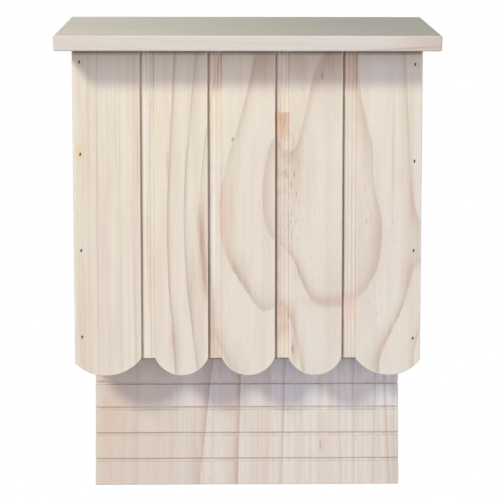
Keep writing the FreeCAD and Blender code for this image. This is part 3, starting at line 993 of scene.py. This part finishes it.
# Painted fill light: from the lobes' shadows upward the front is painted paler and bluer, more so to the
# right, with a still paler patch on the right.
painted_fill_in_shadow = ramp(up, 58.0 - FOOT, 74.0 - FOOT) * ramp(across, -100.0, -10.0, 0.22, 0.88) * on_front
painted_fill_patch = bump(place, 80, 84 - FOOT, 30, 22) * on_front * 0.85
ground = blend(ramp(across, -96.0, -20.0), (0.755, 0.672, 0.578), (0.832, 0.782, 0.710))
ground = blend(painted_fill_in_shadow, ground, (0.85, 0.862, 0.91))
ground = blend(painted_fill_patch, ground, (0.96, 0.955, 0.98))
rings = growth_rings(place, (-78, 34, 0), 9.0, 0.002, 1.0)
pine = pine_wood(place, rings, Ring_Strength=0.16, Fibre_Strength=0.75, Pale=ground)
torn = patches(place, (0.30, 0.30, 0.014), 0.30, 0.60, 0.40, 1.0, 0.5)
brown = year_lines(place, [
    (-92, 0.0, 3.0, 0.50), (-36, 0.11, 8.0, 1.0), (-7, 0.03, 3.2, 1.15), (-6.6, 0.03, 14.0, 0.25),
    (9.5, 0.01, 1.2, 0.45), (22, -0.03, 2.0, 0.30), (30.2, 0.04, 1.2, 1.35), (46, 0.0, 3.0, 0.25),
    (62, 0.01, 1.4, 0.75), (70.6, 0.0, 1.5, 0.40), (79, -0.02, 3.0, 0.35), (90.6, 0.0, 1.2, 0.95),
    (95.5, 0.03, 1.2, 0.35), (108, 0.03, 2.0, 0.85), (113, -0.02, 1.0, 0.40), (119, -0.04, 1.2, 1.2),
    (125, 0.0, 2.5, 0.60), (-103, 0.05, 2.4, 0.35), (-60, 0.12, 14.0, 0.25), (-78, 0.0, 1.2, 0.20),
    (19, 0.02, 15.0, 0.32)]) * torn * 0.80
colour = blend(maths("MINIMUM", brown, 1.0), pine["Color"], (0.56, 0.41, 0.35))
streaks = patches(place, (0.26, 0.26, 0.007), 0.46, 0.64, 0.0, 0.34)
colour = blend(streaks, colour, (0.68, 0.55, 0.49))
pink = marks(place, [
    (-119, 4.0, 0.75), (-109, 6.0, 0.35), (-40, 5.0, 0.3), (-12, 4.0, 0.3), (66, 6.0, 0.25),
    (12, 12.0, 0.35)], 5.0) * 0.55
colour = blend(pink, colour, (0.76, 0.55, 0.44))
low_left = bump(place, -114, 66 - FOOT, 8, 22) * 0.34
low_right = bump(place, 128, 18 - FOOT, 9, 34) * 0.80
fleck = bump(place, 62, 33 - FOOT, 1.1, 4.5) * 0.55
colour = blend(low_left, colour, (0.68, 0.47, 0.34))
colour = blend(low_right, colour, (0.66, 0.58, 0.53))
colour = blend(fleck, colour, (0.42, 0.33, 0.27))
# Painted shade on the grooves' flanks: browner where they face down, under each upper lip, and a little where
# they face up, against the lamp's light.
facing = axis(node("ShaderNodeNewGeometry", "Normal"), "Z")
painted_groove_shade = ramp(facing, -0.20, -0.55, 0.0, 0.60) + ramp(facing, 0.20, 0.50, 0.0, 0.15)
colour = blend(painted_groove_shade, colour, (0.50, 0.38, 0.30))
finish_wood(place, pine, colour, 0.12)
dress(back_board, back_wood, "back_plate")
print("back board wood", len(tree.nodes), "nodes")

# %% [markdown]
# ## The roof's board
#
# The roof's grain runs from end to end, so the pattern is turned until z follows the board's length
# and x its slope. Where the surface faces up, the top is painted grey-green and darker, more and
# more towards the right end: painted shade where the light on the top falls off. A thin dark line
# along the lower front edge of the right half is painted shade under that edge.

# %% Roof wood
down_slope = Matrix(((0, np.cos(SLOPE), np.sin(SLOPE)), (0, -np.sin(SLOPE), np.cos(SLOPE)), (1, 0, 0)))
roof_wood, place = wood("roof pine", down_slope.to_euler())
uphill, outward, along = (axis(place, name) for name in "XYZ")
rings = growth_rings(place, (-64, -30, 0), 6.5, 0.004, 1.2)
pine = pine_wood(place, rings, Ring_Strength=0.26, Fibre_Strength=0.55,
                 Pale=(0.832, 0.782, 0.722), Late=(0.68, 0.51, 0.44))
on_top = ramp(axis(node("ShaderNodeNewGeometry", "Normal"), "Z"), 0.55, 0.90)
# Painted shade: the top is painted grey-green and darker, more and more towards the right end.
painted_top_shade = on_top * ramp(along, -190.0, 150.0, 0.10, 0.90)
colour = blend(painted_top_shade, pine["Color"], (0.43, 0.43, 0.385))
mossy = blend(ramp(uphill, -92.0, -30.0), (1.0, 0.965, 0.90), (0.925, 0.935, 0.88))
colour = blend(on_top, colour, mossy, "MULTIPLY")
streaks = patches(place, (0.14, 0.14, 0.006), 0.42, 0.66, 0.0, 0.35)
colour = blend(streaks * on_top, colour, (0.53, 0.515, 0.42))
# Painted shade: a thin dark line along the lower front edge of the right half, rising a little up the front
# towards the end.
lower_face = (BACK_HEIGHT - FOOT) * np.cos(SLOPE)
rising = maths("MAXIMUM", along - 78.0, 0.0) * 0.055
line = hill(outward - lower_face - rising, 3.0) * ramp(along, 70.0, 130.0, 0.0, 0.75)
colour = blend(line, colour, (0.60, 0.38, 0.29))
right_end = ramp(along, 105.0, 150.0, 0.0, 0.58) * (1.0 - on_top)
colour = blend(right_end, colour, (0.68, 0.52, 0.42))
finish_wood(place, pine, colour, 0.06)
dress(roof_board, roof_wood, "roof")
print("roof wood", len(tree.nodes), "nodes")

# %% [markdown]
# ## The front panel's board
#
# The panel's figure is the first thing one sees: straight lines on the left, then lines that lean
# and bend, and a long oval right of the middle. The ring number is a shallow valley across the
# board, the square of the distance from its middle, with nine bumps that bend it into the oval and
# its neighbours. They were fitted so that whole numbers fall on the lines of the real board. Place
# is measured in the panel's own plane: x across, z up from the strips' lower ends.

# %% Front panel wood: rings
def spots(place, places):
    """Total share of some bumps: each (across, up, half width, half length, share)."""
    total = 0.0
    for *where, share in places:
        total = bump(place, *where) * share + total
    return total


front_wood, place = wood("front panel pine", (-LEAN, 0, 0), (
    0, PANEL_FOOT * np.cos(LEAN) - (ENTRANCE - FOOT) * np.sin(LEAN),
    -PANEL_FOOT * np.sin(LEAN) - (ENTRANCE - FOOT) * np.cos(LEAN)))
across, inward, up = (axis(place, name) for name in "XYZ")
MIDDLE, HALF_SPREAD, LEVEL, SKEW, CURL = 92.92, 47.69, 0.375, 0.367, 0.0534
BUMPS = [
    (121.7, -2.0, 54.6, 43.1, 0.678), (77.7, 300.0, 13.4, 115.3, -0.313), (28.5, 108.8, 95.6, 94.0, -0.998),
    (112.3, 146.3, 9.0, 19.2, 0.48), (26.2, 190.7, 43.5, 158.4, -1.249), (35.9, 209.8, 12.4, 87.4, 0.643),
    (29.7, 14.7, 14.0, 75.0, 0.685), (-27.7, 114.7, 24.2, 164.2, -0.866), (143.7, 91.8, 9.0, 44.1, -0.728)]
wavering = (cloud(place, (0.035, 0.02, 0.010)) - 0.5) * 3.5
bent_across = inward * 0.8 + (across + wavering)
bent = node("ShaderNodeCombineXYZ", 0, {"X": bent_across, "Z": up})
off = (bent_across - MIDDLE) / HALF_SPREAD
square = off * off
rings = square + square * off * SKEW + square * square * CURL + LEVEL + spots(bent, BUMPS)
rings_show = ramp(across, -100.0, -64.0, 0.28, 0.95) - spots(place, [
    (-17, 170, 14, 75, 0.42), (128, 190, 10, 90, 0.30), (12, 45, 14, 12, 0.30), (-6, 66, 10, 18, -0.45),
    (42, 66, 9, 24, -0.55), (102, 76, 10, 30, -0.45), (118, 35, 14, 36, -0.22), (-61, 30, 6, 40, -0.35)])
cooler = ramp(across - up * 0.80, -270.0, 110.0)
ground = blend(cooler, (0.885, 0.808, 0.672), (0.862, 0.808, 0.715))
pine = pine_wood(place, rings, Ring_Strength=rings_show, Line_Start=0.55,
                 Pale=ground, Late=(0.59, 0.475, 0.37))
print("front rings from", len(BUMPS), "bumps")

# %% [markdown]
# On top of the rings lie stains: tan and pink where resin gathers along a line, yellow round a brad,
# brown flecks inside the oval. A stain on a board face is a bump, torn a little along the fibres.
# The milled strips cut through deeper wood, so each has stains of its own that end with the strip:
# a band across times a band along. Light and shade are painted here too: painted shade in the bead
# valleys, beside the kerfs, along the strips' lower ends and hard up under the roof, painted
# highlights on some beads, and violet painted fill light in two places inside the roof's shadow.

# %% Front panel wood: stains
def band(value, low, high, soft_low, soft_high):
    """1 between two values and 0 outside, with a soft rise and a soft fall."""
    rise = ramp(value, low - soft_low, low + soft_low)
    return rise * ramp(value, high - soft_high, high + soft_high, 1.0, 0.0)


def strip_stains(place, places):
    """Total share of stains in the milled strips: each (strip, low, high, soft low, soft high, share)."""
    total = 0.0
    for strip, low, high, soft_low, soft_high, share in places:
        left = STRIP_LEFTS[strip]
        inside = band(axis(place, "X"), left, left + STRIP, 0.3, 0.8)
        total = inside * band(axis(place, "Z"), low, high, soft_low, soft_high) * share + total
    return total


TAN, RED, PINK = (0.62, 0.45, 0.34), (0.57, 0.375, 0.295), (0.82, 0.60, 0.49)
ORANGE, YELLOW, PAINTED_FILL_VIOLET = (0.72, 0.44, 0.28), (0.81, 0.68, 0.45), (0.87, 0.85, 0.89)
STAINS = [
    (TAN, [
        (15, 240, 8, 24, 0.55), (69, 240, 9, 17, 0.60), (105, 98, 4.5, 22, 0.35), (16, 138, 5, 34, 0.22),
        (-45, 62, 4, 30, 0.45), (-63.5, 100, 0.9, 90, 0.30), (-59.5, 210, 0.9, 40, 0.25),
        (-50.3, 120, 0.9, 60, 0.18), (129, 66, 5, 17, 0.42), (-131, 20, 9, 45, 0.22),
        (37, 32, 3.0, 15, 0.55), (64, 47, 17, 5.0, 0.50), (40, 70, 5, 9, 0.30), (-5, 70, 4, 16, 0.18),
        (36, 148, 5, 30, 0.22), (87.5, 240, 1.6, 12, 0.8), (-60, 12, 4.5, 16, 0.35),
        (42, 236, 11, 12, 0.40), (117, 165, 1.2, 50, 0.35), (132, 150, 1.2, 40, 0.30),
        (-26, 240, 4, 16, 0.3), (41, 160, 6, 50, 0.26), (38, 8, 2.4, 13, 0.75), (131, 200, 3.0, 24, 0.35),
        (132.5, 128, 2.6, 20, 0.45), (9, 232, 6, 12, 0.25), (-13, 122, 4, 28, 0.30),
        (-40, 25, 3.5, 32, 0.30), (27, 185, 2.0, 14, 0.5)], []),
    (RED, [
        (-36.5, 90, 2.8, 30, 1.0), (-34, 62, 2.5, 14, 0.4), (-64.5, 158, 1.0, 12, 0.5),
        (-61, 18, 0.9, 14, 0.5), (-21, 118, 1.8, 18, 0.32), (-88, 165, 1.0, 60, 0.4),
        (-39, 108, 2.4, 14, 0.35), (-33, 74, 2.0, 14, 0.35), (78, 46, 2.2, 7, 0.5),
        (-28, 26, 2.2, 32, 0.75), (-25, 6, 4, 10, 0.4)], []),
    (PINK, [
        (-20.5, 124, 3.0, 26, 0.5), (-17, 150, 8, 26, -0.25), (-19, 120, 4.5, 24, 0.55),
        (-76.5, 80, 1.6, 32, 0.45), (-15, 98, 4, 18, 0.3), (111, 10, 5, 14, 0.25), (96, 150, 7, 60, 0.16),
        (40, 12, 3.5, 14, 0.35), (-34, 110, 2.5, 50, 0.3), (-71, 70, 4, 60, 0.2)], [
        (1, -5, 52, 1, 14, 0.22), (3, 32, 50, 1.5, 5, 0.75), (3, -5, 32, 1, 3, 0.22),
        (2, 45, 165, 6, 20, 0.15), (0, 30, 100, 20, 20, 0.10)]),
    (ORANGE, [], [
        (2, 183, 198.5, 11, 0.8, 0.95), (2, 165, 198.5, 12, 0.8, 0.25), (2, 18, 46, 10, 6, 0.42),
        (1, 216, 260, 3, 1, 0.40), (3, 217, 260, 3, 1, 0.62), (1, -5, 5, 1, 3, 0.35),
        (2, 60, 165, 10, 14, 0.10)]),
    (TAN, [], [
        (2, 52, 166, 10, 8, 0.14), (2, 20, 48, 8, 4, 0.45), (1, -5, 60, 1, 10, 0.06),
        (0, 60, 200, 20, 20, 0.06), (3, 50, 160, 10, 20, 0.10), (2, 190, 198.5, 5, 0.8, 0.40)]),
    (YELLOW, [
        (-135, 167, 4, 6, 1.0), (-134, 160, 3, 14, 0.35), (-3, 10, 13, 16, 0.20), (125, 165, 3.5, 45, 0.30),
        (-71, 190, 4, 60, 0.16), (134, 18, 7, 30, 0.22), (-20, 0, 30, 12, 0.12)], [
        (1, 175, 216, 12, 1.5, 0.40), (2, 199.5, 217, 1, 1.5, 0.38), (3, 150, 217, 30, 1.5, 0.22),
        (2, -5, 16, 1, 5, 0.40), (0, -5, 60, 1, 25, 0.08)]),
    # Painted fill light: pale violet patches at the panel's top, inside the roof's shadow.
    (PAINTED_FILL_VIOLET, [
        (104, 234, 17, 13, 0.55), (-112, 226, 12, 14, 0.25)], [])]

straight = marks(place, [
    (-135.5, 1.0, 0.35), (-131.5, 1.6, 0.45), (-127, 1.3, 0.5), (-120.3, 0.8, 0.95), (-116.5, 2.6, 0.35),
    (-110, 0.8, 0.3), (-105.5, 1.0, 0.35), (-102.3, 0.7, 0.4), (-96, 1.0, 0.45), (-90.5, 1.4, 0.5)], 4.0)
colour = blend(straight * 0.44, pine["Color"], (0.60, 0.48, 0.38))
wide = patches(place, (0.13, 0.13, 0.008), 0.44, 0.64, 0.0, 0.22)
colour = blend(wide, colour, (0.68, 0.57, 0.47))
# 1 outside the roof's cast shadow and a fifth inside it: the painted shade and highlights below fade inside
# that shadow.
outside_roof_shadow = ramp(up, 208.0, 222.0, 1.0, 0.2)
# Painted shade: a thin tan line in each bead valley.
VALLEYS = [(5.3, 8.0), (6.3, 9.2), (4.7, 7.6), (4.8, 7.8)]
painted_valley_shade = [(left + at, 0.42, 1.0) for left, pair in zip(STRIP_LEFTS, VALLEYS) for at in pair]
painted_valley_shade = marks(place, painted_valley_shade, 0.0)
colour = blend(painted_valley_shade * outside_roof_shadow * 0.42, colour, TAN)
# Painted highlights: pale lines on some strips just right of the kerf, where the first bead catches the
# light.
PAINTED_HIGHLIGHTS = [(0, 3.9, 0.9, 1.0), (1, 4.7, 1.0, 1.0), (3, 3.7, 0.6, 0.5)]
painted_highlight = [(STRIP_LEFTS[strip] + at, half, share) for strip, at, half, share in PAINTED_HIGHLIGHTS]
painted_highlight = marks(place, painted_highlight, 0.0)
colour = blend(painted_highlight * outside_roof_shadow * 0.85, colour, (0.97, 0.935, 0.87))
# Painted shade just right of each kerf, where the kerf's edge shades the strip, strongest at the third.
painted_kerf_shade = spots(place, [(-30.2, 22, 1.3, 36, 0.5)])
for left, kerf_shade_share, reach in zip(STRIP_LEFTS, (0.45, 0.65, 0.95, 0.75), (3.9, 3.9, 4.6, 3.7)):
    kerf_shade = ramp(across, left + 1.4, left + reach, kerf_shade_share, 0.0)
    painted_kerf_shade = kerf_shade * ramp(across, left + 1.3, left + 1.5) + painted_kerf_shade
colour = blend(painted_kerf_shade * outside_roof_shadow, colour, (0.36, 0.29, 0.24))

torn = patches(place, (0.40, 0.40, 0.022), 0.28, 0.60, 0.45, 1.0)
for paint, on_boards, in_strips in STAINS:
    share = spots(place, on_boards) + strip_stains(place, in_strips)
    colour = blend(maths("MINIMUM", share * torn, 1.0), colour, paint)
fleck = ramp(cloud(place, (0.75, 0.75, 0.13), 2.0, 0.55), 0.56, 0.68)
flecked = spots(place, [
    (35, 140, 8, 46, 1.0), (96, 120, 6, 45, 0.55), (60, 90, 14, 24, 0.18), (117, 110, 5, 25, 0.25)])
colour = blend(fleck * flecked, colour, (0.50, 0.38, 0.30))
pitch = spots(place, [
    (-12.1, 177, 0.8, 1.5, 0.8), (59.5, 228, 0.8, 3.5, 0.6), (36.4, 7.6, 0.6, 4.0, 0.8)])
# Painted shade: a dark band along each strip's lower end; the pitch dots are the wood's own marks.
painted_shade_at_strip_ends = strip_stains(place, [(strip, -2, 0.6, 0.3, 0.5, 0.6) for strip in range(4)])
colour = blend(pitch + painted_shade_at_strip_ends, colour, (0.25, 0.18, 0.13))
# Painted shade: the front's top few millimetres, hard up under the roof, are painted almost black.
painted_shade_under_roof = ramp(up, 242.6, 247.4, 0.0, 0.92) * ramp(inward, 1.0, 3.0, 1.0, 0.0)
colour = blend(painted_shade_under_roof, colour, (0.20, 0.145, 0.115))
finish_wood(place, pine, colour, 0.55)
dress(beaded_panel, front_wood, "front_panel")
print("front panel wood", len(tree.nodes), "nodes")

# %% [markdown]
# ## Brads
#
# The brads are the measured ones and only need a finish: dull grey steel whose roughness and tone
# change over a few tenths of a millimetre, with brown where the damp has got at it.

# %% Brad steel
steel, place = wood("brad steel")
rust = ramp(cloud(place, (0.9, 0.9, 0.9), 3.0, 0.65), 0.42, 0.62)
drag = cloud(place, (5.0, 5.0, 1.2))
relief = node("ShaderNodeBump", "Normal", {"Height": drag, "Distance": 0.00004, "Strength": 0.5})
shader = node("ShaderNodeBsdfPrincipled", 0, {
    "Base Color": blend(rust, (0.10, 0.085, 0.075), (0.08, 0.04, 0.025)),
    "Metallic": 0.8 - rust * 0.6, "Roughness": drag * 0.3 + 0.42, "Normal": relief})
node("ShaderNodeOutputMaterial", None, {"Surface": shader})
for name in ("front_brads", "side_brads", "roof_brads", "partition_brads"):
    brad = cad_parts[name]
    brad.data.materials.clear()
    brad.data.materials.append(steel)
print("brad steel on 4 groups of brads")
